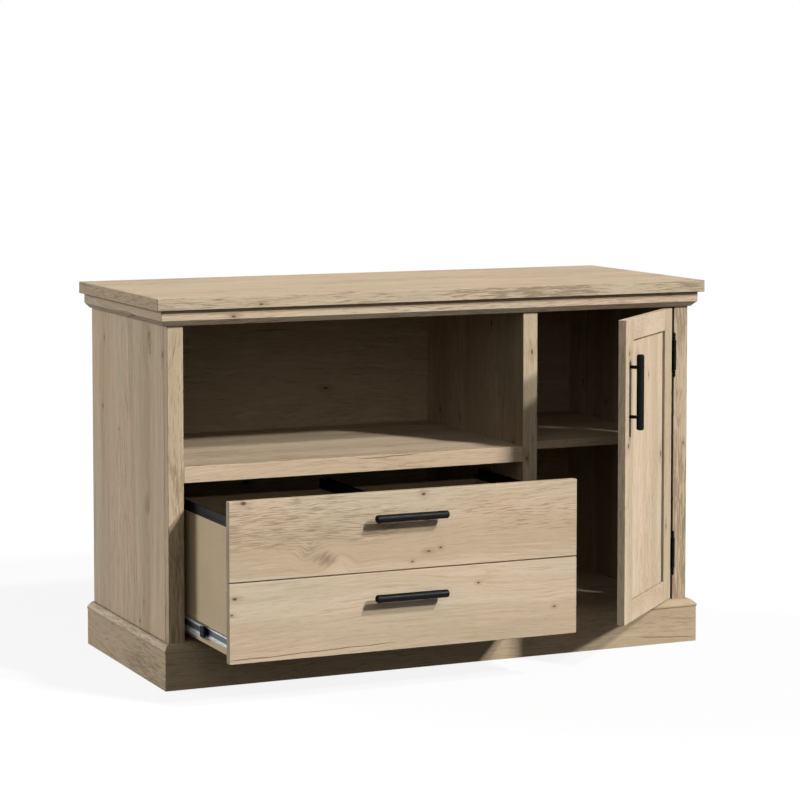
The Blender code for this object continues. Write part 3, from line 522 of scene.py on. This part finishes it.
def floor_material():
    shader = Shader("floor")
    haze = shader.noise(shader.scaled(shader.place(), (1.5, 1.5, 1.5)))
    tone = shader.blend(shader.span(haze, 0.3, 0.7), linear(140, 140, 140), linear(134, 134, 134))
    straight, seen = shader.seen_as_white()
    shader.put(shader.surface.inputs["Base Color"], shader.blend(straight, tone, WHITE))
    shader.surface.inputs["Roughness"].default_value = 0.9
    shader.surface.inputs["Specular IOR Level"].default_value = 0.0
    white = shader.node("ShaderNodeEmission")
    white.inputs["Strength"].default_value = 1.0
    mix = shader.node("ShaderNodeMixShader")
    shader.put(mix.inputs[0], shader.math("MULTIPLY", seen, FLOOR_WHITE_SHARE))
    shader.put(mix.inputs[1], shader.surface.outputs[0])
    shader.put(mix.inputs[2], white.outputs[0])
    shader.put(shader.tree.nodes["Material Output"].inputs["Surface"], mix.outputs[0])
    return shader.material


floor_corners = []
for x, y in ((-1, -1), (1, -1), (1, 1), (-1, 1)):
    floor_corners.append((x * FLOOR_REACH, y * FLOOR_REACH, 0.0))
floor_mesh = bpy.data.meshes.new("floor")
floor_mesh.from_pydata(floor_corners, [], [(0, 1, 2, 3)])
floor_mesh.materials.append(floor_material())
floor = bpy.data.objects.new("floor", floor_mesh)
floor.location = (0.0, 0.0, -FLOOR_DROP)
bpy.context.scene.collection.objects.link(floor)

# Lights: name, azimuth, elevation, strength and width. Azimuth is counted from the front of the object
# towards its right side. Angles are in degrees.

LIGHTS = (
    ("low key", 33.5, 31.0, 2.12, 4.0),
    ("high key", 37.5, 40.5, 1.86, 4.0),
    ("side", -130.0, 18.0, 1.98, 22.0),
    ("fill", -15.0, 30.0, 0.36, 60.0),
)

for name, azimuth, elevation, strength, width in LIGHTS:
    light = bpy.data.lights.new(name, "SUN")
    light.energy = strength
    light.angle = math.radians(width)
    light.cycles.max_bounces = 0
    light_object = bpy.data.objects.new(name, light)
    light_object.rotation_euler = (math.radians(90 - elevation), 0.0, math.radians(azimuth))
    bpy.context.scene.collection.objects.link(light_object)

# The world is white to the camera and in reflections, and lights the object only faintly

AMBIENT_STRENGTH = 0.1
AMBIENT_TINT = (1.0, 0.93, 0.8, 1.0)
world = bpy.data.worlds.new("studio")
world.use_nodes = True
bpy.context.scene.world = world
sky = Nodes(world.node_tree)
background = world.node_tree.nodes["Background"]
seen = sky.seen_as_white()[1]
sky.put(background.inputs["Color"], sky.blend(seen, AMBIENT_TINT, WHITE))
sky.put(background.inputs["Strength"], sky.span(seen, 0.0, 1.0, AMBIENT_STRENGTH, 1.0))

# The camera, at the photograph's viewing angle. Lengths of the lens are in millimetres, angles in degrees.

SENSOR_WIDTH = 36.0
FOCAL_LENGTH = 122.473
FRAME_SHIFT = -0.15
CAMERA_PLACE = (-2.27397, -5.11641, 1.17112)
CAMERA_DOWN = 4.23525
CAMERA_TURN = -24.11092
lens = bpy.data.cameras.new("camera")
lens.sensor_width = SENSOR_WIDTH
lens.lens = FOCAL_LENGTH
lens.shift_y = FRAME_SHIFT
camera = bpy.data.objects.new("camera", lens)
camera.location = CAMERA_PLACE
camera.rotation_euler = (math.radians(90 - CAMERA_DOWN), 0.0, math.radians(CAMERA_TURN))
bpy.context.scene.collection.objects.link(camera)
bpy.context.scene.camera = camera
bpy.context.scene.view_settings.view_transform = "Standard"
